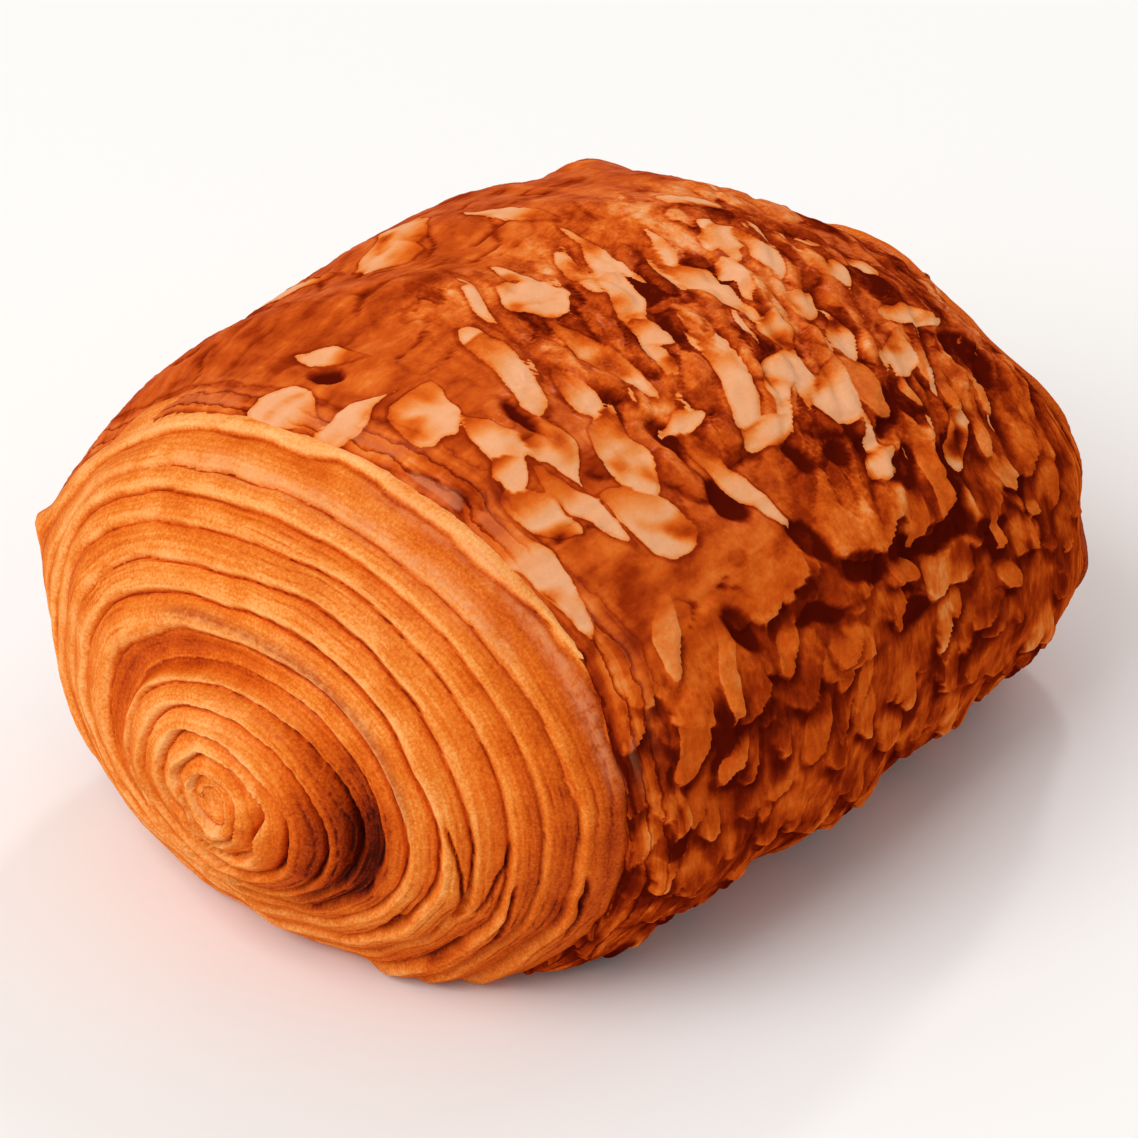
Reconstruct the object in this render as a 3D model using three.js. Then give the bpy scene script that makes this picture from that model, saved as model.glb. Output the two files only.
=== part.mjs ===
import * as THREE from 'three';

// A baked pain au chocolat: one short roll of laminated dough that rests on a flat base.
// Millimetres, +Z up. The roll's axis is X, and the end that shows its spiral points to -X.
// The origin is the middle of the footprint, on the surface that the roll rests on.
// Angles run round the roll from +Y, up through +Z.

// Driving sizes of the whole roll.
const LENGTH = 103;
const WIDTH = 80;
const HEIGHT = 55;

// The section: its widest level, and how far the round form would reach below the base
// if the tray hadn't flattened it. A squareness of 2 is an ellipse, and more is boxier.
const WAIST_HEIGHT = 24.5;
const DEPTH_BELOW_WAIST = 30.6;
const TOP_SQUARENESS = 2.15;
const BACK_SQUARENESS = 2.15;
const FRONT_SQUARENESS = 1.85;

// Each end closes in towards its tip. Reach and fullness shape that closing: the high reach
// and low fullness of the near end make a pointed cone, the far end is a plain round cushion.
// The rim is where the crust's edge ends and the cut face with its spiral begins.
const NEAR_END = {
  side: -1,
  tipHeight: 21.5,
  tipOffset: 3,
  reach: 5.9,
  fullness: 1.1,
  rim: 0.92,
  bandWidth: 0.085,
  bandDepth: 1.0,
  knobRadius: 0.37,
  knobStep: 1.4,
};
const FAR_END = {
  side: 1,
  tipHeight: 14,
  tipOffset: 0,
  reach: 3.4,
  fullness: 3.3,
  rim: 0.9,
  bandWidth: 0.13,
  bandDepth: 0.9,
  knobRadius: 0.26,
  knobStep: 0.8,
};

// One turn of dough seen end on: places across its width, and how proud it stands there.
// The first place is the crevice between two turns.
const BAND_PLACES = [0, 0.18, 0.55, 0.88];
const BAND_RISES = [0, 0.8, 1, 0.75];
const STEPS_PER_TURN = BAND_PLACES.length;

// The spiral starts this share of a turn's width from the tip, and its relief is full at
// two turns. A point closer than SNAP of a turn's width to the rim is moved onto the rim.
const FIRST_TURN = 0.5;
const FULL_TURN = 2;
const SNAP = 0.12;

// The knob as shares of its radius: where its shoulder starts and ends, and where the
// groove round it lies and how wide that is.
const SHOULDER_START = 0.75;
const SHOULDER_END = 1.05;
const GROOVE_PLACE = 1.2;
const GROOVE_WIDTH = 0.2;
const BUTTON_SHARE = 0.5;

// The crust between the two rims.
const LIP_HEIGHT = 0.8;
const LIP_WIDTH = 1.2;
const CRUST_RINGS = 17;

// Broad waves of the crust: length along the roll, whole waves round it, and height.
const CRUST_WAVES = [
  { along: 41, around: 3, height: 0.45 },
  { along: -27, around: 4, height: 0.4 },
  { along: 22, around: -6, height: 0.3 },
  { along: 33, around: 7, height: 0.25 },
  { along: -18, around: 9, height: 0.2 },
];

// Large blisters and dips of the crust: place along the roll, angle, radius and height.
const SWELLINGS = [
  { x: 31, angle: 62, radius: 6, rise: 1.5 },
  { x: 34, angle: 84, radius: 7, rise: -0.5 },
  { x: 20, angle: 50, radius: 9, rise: 0.6 },
  { x: 9, angle: 42, radius: 8, rise: 0.6 },
  { x: -20, angle: 38, radius: 10, rise: -0.9 },
  { x: -2, angle: 150, radius: 12, rise: 0.9 },
  { x: 24, angle: 128, radius: 10, rise: -0.6 },
  { x: -22, angle: 104, radius: 9, rise: 0.7 },
];

// Relief dies away over this height above the tray, where the base is flat.
const TRAY_FADE = 5;

const SEGMENTS = 44;
const TURN = 2 * Math.PI;
const CRUST_COLOUR = 0xc0651f;

function signedPower(value, power) {
  return Math.sign(value) * Math.abs(value) ** power;
}

function smoothStep(from, to, value) {
  return THREE.MathUtils.smoothstep(value, from, to);
}

// The end that a place along the roll belongs to; reachShare is 0 mid-length and 1 at a tip.
function endAt(x) {
  return x < 0 ? NEAR_END : FAR_END;
}

function reachShare(end, radiusShare) {
  return (1 - radiusShare ** end.fullness) ** (1 / end.reach);
}

function radiusShareAt(end, reach) {
  return (1 - reach ** end.reach) ** (1 / end.fullness);
}

// The middle of the section, which drifts towards each end's tip.
function sectionCentre(end, reach) {
  const drift = reach ** 2;
  return {
    y: end.tipOffset * drift,
    z: WAIST_HEIGHT + (end.tipHeight - WAIST_HEIGHT) * drift,
  };
}

function squarenessAt(angle) {
  if (Math.sin(angle) >= 0) return TOP_SQUARENESS;
  return Math.cos(angle) > 0 ? BACK_SQUARENESS : FRONT_SQUARENESS;
}

// A point of the smooth roll, before any relief.
function smoothPoint(end, reach, radiusShare, angle) {
  const centre = sectionCentre(end, reach);
  const power = 2 / squarenessAt(angle);
  const depth = Math.sin(angle) >= 0 ? HEIGHT - WAIST_HEIGHT : DEPTH_BELOW_WAIST;
  return new THREE.Vector3(
    (end.side * reach * LENGTH) / 2,
    centre.y + (WIDTH / 2) * radiusShare * signedPower(Math.cos(angle), power),
    centre.z + depth * radiusShare * signedPower(Math.sin(angle), power),
  );
}

// Relief stands away from the roll's core, a segment that ends half the height inside each tip.
function awayFromCore(point) {
  const inset = (LENGTH - HEIGHT) / 2;
  const core = new THREE.Vector3(
    THREE.MathUtils.clamp(point.x, -inset, inset),
    0,
    WAIST_HEIGHT,
  );
  return point.clone().sub(core).normalize();
}

function raised(point, rise) {
  const fade = smoothStep(0, TRAY_FADE, point.z);
  const moved = point.clone().addScaledVector(awayFromCore(point), rise * fade);
  moved.z = Math.max(moved.z, 0);
  return moved;
}

// The button in the middle of an end stands proud, with a groove round it.
function knobRise(end, radiusShare) {
  const place = radiusShare / end.knobRadius;
  const button = 1 - smoothStep(SHOULDER_START, SHOULDER_END, place);
  const groove = Math.exp(-(((place - GROOVE_PLACE) / GROOVE_WIDTH) ** 2));
  return end.knobStep * (BUTTON_SHARE * button - groove);
}

// A point of the spiral. Level counts steps outwards from the tip, four to a turn, and each
// row of points moves out by one turn's width while the angle goes once round.
function spiralPoint(end, level, segment) {
  if (segment === SEGMENTS) return spiralPoint(end, level + STEPS_PER_TURN, 0);
  const angle = (segment / SEGMENTS) * TURN;
  const step = THREE.MathUtils.euclideanModulo(level, STEPS_PER_TURN);
  const turns = (level - step) / STEPS_PER_TURN + BAND_PLACES[step] + segment / SEGMENTS;
  if (turns < FIRST_TURN) return tipPoint(end);
  if (turns > end.rim / end.bandWidth - SNAP) return rimPoint(end, segment);
  const radiusShare = turns * end.bandWidth;
  const depth = end.bandDepth * smoothStep(FIRST_TURN, FULL_TURN, turns);
  const rise = depth * BAND_RISES[step] + knobRise(end, radiusShare);
  const reach = reachShare(end, radiusShare);
  return raised(smoothPoint(end, reach, radiusShare, angle), rise);
}

function tipPoint(end) {
  return raised(smoothPoint(end, 1, 0, 0), knobRise(end, 0));
}

function rimPoint(end, segment) {
  const angle = ((segment % SEGMENTS) / SEGMENTS) * TURN;
  const reach = reachShare(end, end.rim);
  return raised(smoothPoint(end, reach, end.rim, angle), 0);
}

// The crust is lumpy: broad waves, and the named swellings.
function crustRise(point, angle) {
  let rise = 0;
  for (const wave of CRUST_WAVES) {
    rise += wave.height * Math.sin((TURN * point.x) / wave.along + wave.around * angle);
  }
  for (const swelling of SWELLINGS) {
    const turned = angle - THREE.MathUtils.degToRad(swelling.angle);
    const arc = (WIDTH / 2) * Math.atan2(Math.sin(turned), Math.cos(turned));
    const distance = Math.hypot(point.x - swelling.x, arc) / swelling.radius;
    rise += swelling.rise * Math.exp(-(distance ** 2));
  }
  return rise;
}

function crustPoint(x, segment) {
  const end = endAt(x);
  const angle = ((segment % SEGMENTS) / SEGMENTS) * TURN;
  const reach = Math.abs(x) / (LENGTH / 2);
  const point = smoothPoint(end, reach, radiusShareAt(end, reach), angle);
  return raised(point, LIP_HEIGHT + crustRise(point, angle));
}

// Rows of points from the near tip to the far tip. Neighbouring rows bound a strip of faces.
function spiralRows(end) {
  const rows = [];
  const lastLevel = STEPS_PER_TURN * Math.ceil(end.rim / end.bandWidth);
  for (let level = -STEPS_PER_TURN; level <= lastLevel; level += 1) {
    rows.push((segment) => spiralPoint(end, level, segment));
  }
  return rows;
}

function crustRows() {
  const rows = [];
  const from = (-reachShare(NEAR_END, NEAR_END.rim) * LENGTH) / 2 + LIP_WIDTH;
  const to = (reachShare(FAR_END, FAR_END.rim) * LENGTH) / 2 - LIP_WIDTH;
  for (let ring = 0; ring < CRUST_RINGS; ring += 1) {
    const x = THREE.MathUtils.lerp(from, to, ring / (CRUST_RINGS - 1));
    rows.push((segment) => crustPoint(x, segment));
  }
  return rows;
}

// Points that fall on the same place become one vertex, so the strips close into one body,
// and a face that has shrunk to a line there is left out.
function stitch(rows) {
  const places = new Map();
  const positions = [];
  const faces = [];

  function vertex(point) {
    const key = point.toArray().join();
    if (!places.has(key)) {
      places.set(key, positions.length / 3);
      positions.push(...point.toArray());
    }
    return places.get(key);
  }

  function face(a, b, c) {
    if (a !== b && b !== c && c !== a) faces.push(a, b, c);
  }

  for (let row = 0; row < rows.length - 1; row += 1) {
    for (let segment = 0; segment < SEGMENTS; segment += 1) {
      const nearLow = vertex(rows[row](segment));
      const nearHigh = vertex(rows[row](segment + 1));
      const farHigh = vertex(rows[row + 1](segment + 1));
      const farLow = vertex(rows[row + 1](segment));
      face(nearLow, nearHigh, farHigh);
      face(nearLow, farHigh, farLow);
    }
  }
  const geometry = new THREE.BufferGeometry();
  geometry.setAttribute('position', new THREE.Float32BufferAttribute(positions, 3));
  geometry.setIndex(faces);
  return geometry;
}

// The relief has moved the outermost points a little: the body is brought back to its
// overall sizes, and stands centred on the origin.
function settle(geometry) {
  geometry.computeBoundingBox();
  const size = geometry.boundingBox.getSize(new THREE.Vector3());
  geometry.scale(LENGTH / size.x, WIDTH / size.y, HEIGHT / size.z);
  geometry.computeBoundingBox();
  const { min, max } = geometry.boundingBox;
  geometry.translate(-(min.x + max.x) / 2, -(min.y + max.y) / 2, -min.z);
  geometry.computeVertexNormals();
  return geometry;
}

function makePastry() {
  const rows = [...spiralRows(NEAR_END), ...crustRows(), ...spiralRows(FAR_END).reverse()];
  const crust = new THREE.MeshStandardMaterial({
    color: CRUST_COLOUR,
    roughness: 0.4,
    metalness: 0,
  });
  const pastry = new THREE.Mesh(settle(stitch(rows)), crust);
  pastry.name = 'pastry';
  return pastry;
}

const painAuChocolat = new THREE.Group();
painAuChocolat.add(makePastry());

export default painAuChocolat;
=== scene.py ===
"""A baked pain au chocolat on a plain pale floor.

Sizes are millimetres until a mesh is made. The roll's axis is X, its spiral end points to -X and
its flaky side to -Y. Angles run round the roll from +Y up through +Z, and x runs along it.
Tone is how browned the dough is, with painted shade and painted highlights worked into it:
0 is nearly burnt and 1 is pale.
"""

import math
from functools import partial, reduce
from itertools import product
from types import SimpleNamespace as Parts

import bpy
import numpy as np
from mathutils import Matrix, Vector


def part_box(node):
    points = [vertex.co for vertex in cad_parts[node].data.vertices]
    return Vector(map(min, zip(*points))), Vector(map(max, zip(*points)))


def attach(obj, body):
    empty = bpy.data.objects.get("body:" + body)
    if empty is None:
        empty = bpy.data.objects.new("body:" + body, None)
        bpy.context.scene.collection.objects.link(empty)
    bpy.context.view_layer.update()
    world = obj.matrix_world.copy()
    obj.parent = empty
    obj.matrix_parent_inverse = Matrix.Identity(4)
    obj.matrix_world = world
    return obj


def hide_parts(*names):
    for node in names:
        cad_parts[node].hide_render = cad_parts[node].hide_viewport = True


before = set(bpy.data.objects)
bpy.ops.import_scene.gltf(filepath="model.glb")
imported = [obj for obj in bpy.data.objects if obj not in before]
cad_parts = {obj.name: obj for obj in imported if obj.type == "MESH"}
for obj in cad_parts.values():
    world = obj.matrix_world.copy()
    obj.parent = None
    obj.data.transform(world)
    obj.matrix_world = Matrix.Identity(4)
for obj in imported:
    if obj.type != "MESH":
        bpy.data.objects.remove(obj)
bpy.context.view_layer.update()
CAD_NODE = "pastry"

MM = 0.001
LOW, HIGH = (np.array(corner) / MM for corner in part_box(CAD_NODE))
LENGTH, WIDTH, HEIGHT = HIGH - LOW
TURN = 2 * math.pi

# ---- the smooth roll

# The section: its widest level, how far its round form would reach below the flat base,
# and how square it is above and below that level. A squareness of 2 is an ellipse.
WAIST = 24.5
DEPTH_BELOW_WAIST = 30.6
TOP_SQUARENESS = 2.15
BACK_SQUARENESS = 2.15
FRONT_SQUARENESS = 1.85

# How each end closes in towards its tip, and the share of the radius where its rim lies.
NEAR = Parts(side=-1, tip_height=21.5, tip_offset=3.0, reach=5.9, fullness=1.1, rim=0.92)
FAR = Parts(side=1, tip_height=14.0, tip_offset=0.0, reach=3.4, fullness=3.3, rim=0.80)

CORE_INSET = (LENGTH - HEIGHT) / 2
TRAY_FADE = 2.2
RADIUS = 34.0


def ease(start, end, value):
    """0 up to the start, 1 from the end on, and a smooth rise between."""
    share = np.clip((value - start) / (end - start), 0, 1)
    return share * share * (3 - 2 * share)


def signed_power(value, power):
    return np.sign(value) * np.abs(value) ** power


def bell(value, middle, width):
    return np.exp(-(((value - middle) / width) ** 2))


def flat_bell(value, middle, width):
    """A bell with a flatter top and steeper sides."""
    return np.exp(-(((value - middle) / width) ** 4))


def window(value, low, high, soft):
    """1 between low and high, easing to 0 over a soft width outside them."""
    return ease(low - soft, low, value) * (1 - ease(high, high + soft, value))


def weighed(parts, weights):
    """The sum of the parts that have a weight, each times its own."""
    return sum(weight * parts[name] for name, weight in weights.items())


def turned(angle, degrees):
    """How far an angle is from a direction in degrees, from -pi to pi."""
    away = angle - math.radians(degrees)
    return np.arctan2(np.sin(away), np.cos(away))


def reach_at(end, share):
    return (1 - share**end.fullness) ** (1 / end.reach)


def share_at(x):
    """The radius share of the smooth roll at a place along it."""
    reach = np.clip(np.abs(x) / (LENGTH / 2), 0, 1)
    near = (1 - reach**NEAR.reach) ** (1 / NEAR.fullness)
    far = (1 - reach**FAR.reach) ** (1 / FAR.fullness)
    return np.where(x < 0, near, far)


def centre_at(x):
    drift = (np.abs(x) / (LENGTH / 2)) ** 2
    offset = np.where(x < 0, NEAR.tip_offset, FAR.tip_offset) * drift
    tip = np.where(x < 0, NEAR.tip_height, FAR.tip_height)
    return offset, WAIST + (tip - WAIST) * drift


def section_vector(share, angle):
    """From the section's centre to its outline, as y and z."""
    cosine, sine = np.cos(angle), np.sin(angle)
    below = np.where(cosine > 0, BACK_SQUARENESS, FRONT_SQUARENESS)
    power = 2 / np.where(sine >= 0, TOP_SQUARENESS, below)
    depth = np.where(sine >= 0, HEIGHT - WAIST, DEPTH_BELOW_WAIST)
    across = WIDTH / 2 * share * signed_power(cosine, power)
    return across, depth * share * signed_power(sine, power)


def raised(x, share, angle, rise):
    """Points that stand a rise away from the smooth roll, and never below the tray."""
    offset, height = centre_at(x)
    across, up = section_vector(share, angle)
    points = np.stack([x, offset + across, height + up], axis=-1)
    core = np.zeros_like(points)
    core[..., 0] = np.clip(points[..., 0], -CORE_INSET, CORE_INSET)
    core[..., 2] = WAIST
    away = points - core
    away /= np.linalg.norm(away, axis=-1, keepdims=True)
    fade = ease(0, TRAY_FADE, points[..., 2])
    points += away * (rise * fade)[..., None]
    points[..., 2] = np.maximum(points[..., 2], 0)
    return points


# ---- seeded noise

PERMUTATION = np.random.default_rng(7).permutation(256)
DIRECTIONS = np.random.default_rng(8).normal(size=(256, 3))
DIRECTIONS /= np.linalg.norm(DIRECTIONS, axis=1, keepdims=True)
CELL_SPOTS = np.random.default_rng(9).uniform(0.08, 0.92, size=(256, 3))
NOISE_GAIN = 1.6


def lattice(cells):
    index = PERMUTATION[cells[..., 0] & 255]
    index = PERMUTATION[(index + cells[..., 1]) & 255]
    return PERMUTATION[(index + cells[..., 2]) & 255]


def noise(points):
    """Smooth noise from about -1 to 1, one value for each point."""
    cells = np.floor(points).astype(int)
    part = points - cells
    eased = part**3 * (part * (part * 6 - 15) + 10)
    total = np.zeros(points.shape[:-1])
    for corner in product((0, 1), repeat=3):
        weight = np.prod(np.where(np.array(corner) == 1, eased, 1 - eased), axis=-1)
        total += weight * np.sum(DIRECTIONS[lattice(cells + corner)] * (part - corner), axis=-1)
    return total * NOISE_GAIN


def layered_noise(points, layers):
    total = 0
    for layer in range(layers):
        total = total + noise(points * 2**layer + 19.7 * layer) / 2**layer
    return total


def cell_noise(points):
    """How far inside its cell each point is, and a value from 0 to 1 for the whole cell."""
    corner = np.floor(points).astype(int)
    nearest = np.full(points.shape[:-1], 9.0)
    second = nearest.copy()
    trait = np.zeros(points.shape[:-1])
    for step in product((-1, 0, 1), repeat=3):
        cell = corner + step
        index = lattice(cell)
        distance = np.linalg.norm(points - cell - CELL_SPOTS[index], axis=-1)
        closer = distance < nearest
        second = np.where(closer, nearest, np.minimum(second, distance))
        trait = np.where(closer, index / 255, trait)
        nearest = np.minimum(nearest, distance)
    return second - nearest, trait


def round_roll(x, angle, along, around, seed):
    """Noise coordinates that close round the roll. Along and around are the grain in mm."""
    return np.stack(
        [
            x / along + seed,
            RADIUS * np.cos(angle) / around - seed,
            RADIUS * np.sin(angle) / around + 2 * seed,
        ],
        axis=-1,
    )


def roll_noise(x, angle, along, around, seed):
    return layered_noise(round_roll(x, angle, along, around, seed), 2)


def blurred(grid, steps):
    """A grid whose columns close round the roll, softened by repeated averaging."""
    soft = grid.copy()
    for _ in range(steps):
        padded = np.pad(soft, ((1, 1), (0, 0)), mode="edge")
        soft = (padded[:-2] + 2 * soft + padded[2:]) / 4
        soft = (np.roll(soft, 1, axis=1) + 2 * soft + np.roll(soft, -1, axis=1)) / 4
    return soft


# ---- the spiral ends

# Where the crevices between turns cross the upward radius, as shares of the section's half
# height there, from the swirl to the rim. Then how deep they are, where the noise of the end
# starts, and near, which is 1 for the end with the knob and 0 for the other.
NEAR.crevices = [0, 0.07, 0.135, 0.2, 0.275, 0.338, 0.4, 0.466, 0.551, 0.632, 0.718, 0.78, 0.83, 0.904, 0.98]
NEAR.depth, NEAR.seed, NEAR.near = 1.0, 0.4, 1.0
FAR.crevices = [0, 0.1, 0.2, 0.32, 0.43, 0.55, 0.66, 0.78, 0.9, 1.02]
FAR.depth, FAR.seed, FAR.near = 0.9, 4.4, 0.0

# Slits between the turns low on the near end's front, darkened with painted shade: angle, ring,
# half length in degrees, half width as a share of the radius, and how much the ring grows in a degree.
SLITS = [
    (190, 0.71, 15, 0.004, -0.0016),
    (205, 0.76, 16, 0.0045, 0.001),
    (200, 0.88, 14, 0.004, 0.001),
    (190, 0.63, 22, 0.004, 0.002),
    (220, 0.57, 8, 0.009, 0.001),
    (225, 0.74, 9, 0.01, 0.001),
]

# How many millimetres each feature of an end stands out, and how much paler it is. The darker
# tones of the hollow, groove, flank, neck and slits are painted shade, and lit is a painted highlight.
END_RISES = dict(knob=0.9, groove=-1.3, neck=-0.6, hollow=-0.9, slit=-0.9, low_turns=-0.7, mauve=0.25)
END_TONES = dict(hollow=-0.22, groove=-0.22, flank=-0.36, neck=-0.2, slit=-0.5, far=-1)
END_TONES.update(low_browned=-0.13, merged=-0.08, lit=0.06)

UPWARD = math.pi / 2
ROUND_UNTIL = 0.1
SECTION_FROM = 0.4
ROUND_RADIUS = 35.0
# The knob's middle lies off the tip: how far, as a share of the radius, and which way.
KNOB_SHIFT = 0.04
KNOB_TOWARDS = math.radians(200)


def ring_share(share, angle):
    """Turns are round near the tip and take the section's own outline towards the rim."""
    across, up = section_vector(share, angle)
    off_across = across / ROUND_RADIUS - KNOB_SHIFT * math.cos(KNOB_TOWARDS)
    off_up = up / ROUND_RADIUS - KNOB_SHIFT * math.sin(KNOB_TOWARDS)
    circle = np.hypot(off_across, off_up)
    blend = ease(ROUND_UNTIL, SECTION_FROM, share)
    shift = KNOB_SHIFT * np.cos(angle - KNOB_TOWARDS) * (1 - ease(0.38, 0.56, share))
    return circle + (share - shift - circle) * blend


def turn_count(crevices, ring):
    """Turns of dough between the tip and a ring, from the places of the crevices."""
    edges = ring_share(np.array(crevices), np.full(len(crevices), UPWARD))
    return np.interp(ring, edges, np.arange(len(crevices)))


def band_profile(place):
    """Height across one turn: a crevice at 0 and 1, a lip just outside it, then a slow fall."""
    lip = ease(0.0, 0.12, place)
    slope = 1 - 0.5 * place**1.5
    tuck = 1 - 0.8 * ease(0.86, 1.0, place)
    return lip * slope * tuck


def narrow_line(place, width):
    """1 on the line between two turns and 0 a width away from it."""
    return 1 - ease(0.0, width, np.minimum(place, 1 - place))


def part_of(turns):
    return turns - np.floor(turns)


def slit_depth(ring, angle, ragged):
    """1 along the middle of each slit and 0 away from them."""
    depth = np.zeros(ring.shape)
    for middle, slit_ring, half_length, half_width, lean in SLITS:
        away = np.degrees(turned(angle, middle))
        line = bell(ring + 0.004 * ragged - slit_ring - lean * away, 0, half_width)
        depth = np.maximum(depth, line * (1 - ease(0.55, 1.0, np.abs(away) / half_length)))
    return depth


def end_zones(ring, angle, points, near):
    """How strongly each feature of an end shows. Most are the near end's."""
    degrees = np.degrees(angle)
    hollow = near * flat_bell(ring, 0.417, 0.047) * flat_bell(turned(angle, 48), 0, 1.05)
    flank = near * ease(0.17, 0.27, ring) * (1 - ease(0.43, 0.48, ring))
    low_front = bell(turned(angle, 205), 0, 0.75)
    # Painted sheen: pink on the ridges near the rim.
    pink = 0.9 * bell(ring + 0.006 * noise(points / 4), 0.845, 0.017) * window(degrees, 75, 125, 20)
    pink = pink + bell(ring, 0.907, 0.012) * window(degrees, 105, 160, 12)
    return Parts(
        core=1 - ease(0.14, 0.26, ring),
        knob=near * (1 - ease(0.31, 0.38, ring)),
        # The hollow is sunk, and its darker tone is painted shade.
        hollow=hollow,
        # The flank is the knob's side away from the light, darkened with painted shade.
        flank=flank * bell(turned(angle, 190), 0, 0.85),
        # The groove beside the knob is sunk and darkened with painted shade.
        groove=near * flat_bell(ring, 0.38, 0.045) * bell(turned(angle, 188), 0, 0.7),
        # The neck is sunk and darkened with painted shade.
        neck=near * bell(ring, 0.425, 0.02) * bell(turned(angle, 260), 0, 1.2),
        merged=near * bell(turned(angle, 170), 0, 0.55) * ease(0.62, 0.8, ring),
        low_front=low_front,
        low_turns=low_front * ease(0.5, 0.7, ring),
        # Darker low on the front of the end.
        low_browned=low_front * ease(0.45, 0.85, ring),
        near_rim=ease(0.86, 0.95, ring),
        # The slits are sunk and darkened with painted shade.
        slit=near * slit_depth(ring, angle, noise(points / 2 + 4)),
        mauve=near * bell(ring, 0.503, 0.014) * window(degrees, 75, 158, 22),
        blush=near * pink,
        # Painted highlight: the upper side of the near end is made paler where the light falls.
        lit=near * bell(turned(angle, 75), 0, 1.1) * (1 - hollow),
        far=(1 - near) * (0.1 + 0.14 * ease(0.5, 0.75, ring)),
    )


def dough_layers(end, ring, angle, points, zone):
    """The turns of dough, winding outwards from a blobby swirl, and the finer layers in them."""
    wander = 0.2 * noise(points / 15 + end.seed) + 0.13 * noise(points / 6 - end.seed)
    wander = wander + 0.04 * noise(points / 1.8) + zone.core * 0.5 * noise(points / 3.6 + 3)
    turns = turn_count(end.crevices, ring) + wander - turned(angle, 90) / TURN
    along_dough = np.floor(turns) + (angle + UPWARD) / TURN
    sway = 0.5 * noise(points / 9 + 3 * end.seed) + 0.1 * noise(points / 2)
    finer = np.clip(0.04 + 0.2 * noise(points / 9 - 2 * end.seed), 0, 1)
    return Parts(
        place=part_of(turns),
        trait=noise(np.stack([along_dough * 2.3, 0 * turns + end.seed, 0 * turns], axis=-1)),
        finer_place=part_of(turns * 3 + sway),
        finest_place=part_of(turns * 7 + 0.6 * noise(points / 7 + 7 * end.seed)),
        finer=finer + 0.12 * zone.low_front + 0.22 * zone.flank,
        settled=ease(0.15, 0.35, ring) * (1 - 0.9 * zone.hollow),
    )


def end_rise(end, ring, points, zone, layer):
    """How far the dough stands out from the smooth end."""
    strength = end.depth * (1.1 + 0.6 * layer.trait + 0.4 * noise(points / 6 + 11))
    strength = strength * (0.8 + 0.75 * zone.low_front + 0.5 * zone.knob) * (1 - 0.5 * zone.merged)
    strength = strength * ease(0, 0.12, ring) * (1 - 0.5 * zone.near_rim)
    rise = strength * (1 - 0.95 * zone.hollow) * band_profile(layer.place)
    fine_bands = layer.finer * band_profile(layer.finer_place)
    fine_bands = fine_bands + 0.04 * band_profile(layer.finest_place)
    rise = rise + fine_bands * layer.settled + weighed(vars(zone), END_RISES)
    rise = rise + zone.core * 0.45 * layered_noise(points / 3 + 2, 2)
    return rise + 0.3 * noise(points / 7 + 5 + end.seed) + 0.07 * noise(points / 1.6)


def end_tone(ring, points, zone, layer):
    """Bright bands, with dark lines between them and thinner ones in them. Each band is painted lighter
    at its lip and darker towards the next crevice, and the dark lines between bands are painted shade.
    """
    seen = np.clip(0.8 + 0.8 * layer.trait, 0.3, 1) * ease(0.06, 0.2, ring)
    seen = seen * (0.55 + 0.45 * ease(-0.5, 0.3, noise(points / 8 + 21)))
    seen = seen * (1 - 0.6 * zone.merged) * (1 - 0.9 * zone.hollow)
    # Painted highlight at each band's lip, painted shade towards the next crevice and in its dark line.
    tone = 0.6 + 0.24 * (1 - layer.place) ** 2 - 0.6 * seen * narrow_line(layer.place, 0.08)
    tone = tone - 0.95 * layer.finer * layer.settled * narrow_line(layer.finer_place, 0.13)
    tone = tone + 0.07 * noise(points / 3.2 + 9) + 0.08 * layer.trait
    tone = tone + 0.1 * zone.core * noise(points / 1.8 + 6)
    return tone + weighed(vars(zone), END_TONES)


def spiral_relief(end, share, angle, points):
    """Rise and looks of a spiral end."""
    ring = ring_share(share, angle)
    zone = end_zones(ring, angle, points, end.near)
    layer = dough_layers(end, ring, angle, points, zone)
    looks = {
        "tone": end_tone(ring, points, zone, layer),
        "ring": ring,
        "mauve": zone.mauve,
        "blush": zone.blush * (1 - narrow_line(layer.place, 0.12)),
    }
    return end_rise(end, ring, points, zone, layer), looks


# ---- the crust

LIP = 0.16
PLAIN_TONE = 0.47
NEAR_BANDS = 4.0

# Broad waves of the crust: length along the roll, whole waves round it, and height.
CRUST_WAVES = [(41, 3, 0.3), (-27, 4, 0.3), (22, -6, 0.25), (33, 7, 0.2), (-18, 9, 0.2)]

# Large blisters and dips: place along the roll, angle, radius and height.
SWELLINGS = [
    (31, 56, 4.5, 1.9), (35.5, 66, 4.5, -1.4), (17, 48, 9, 1.1), (6, 42, 8, 0.6), (-12, 34, 8, 0.7),
    (-25, 33, 8, 0.3), (-35, 8, 6, 0.9), (-34, 9, 1.7, 1.3), (42, 192, 10, 2.2), (41, 160, 8, 1.0),
    (-4, 214, 12, 1.9), (14, 216, 8, 0.9), (-31, 229, 6, 1.1), (-25, 212, 5, -0.8),
    (-2, 150, 12, 0.9), (24, 128, 10, -0.6), (-22, 104, 9, 0.7),
]

# The shapes below are: x, angle, half length and half width, lean of the long side from the
# roll's axis in degrees, and taper towards its far end.

# Flakes that stand a little proud, painted pale where the egg wash would reflect the light: a painted
# reflection.
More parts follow.
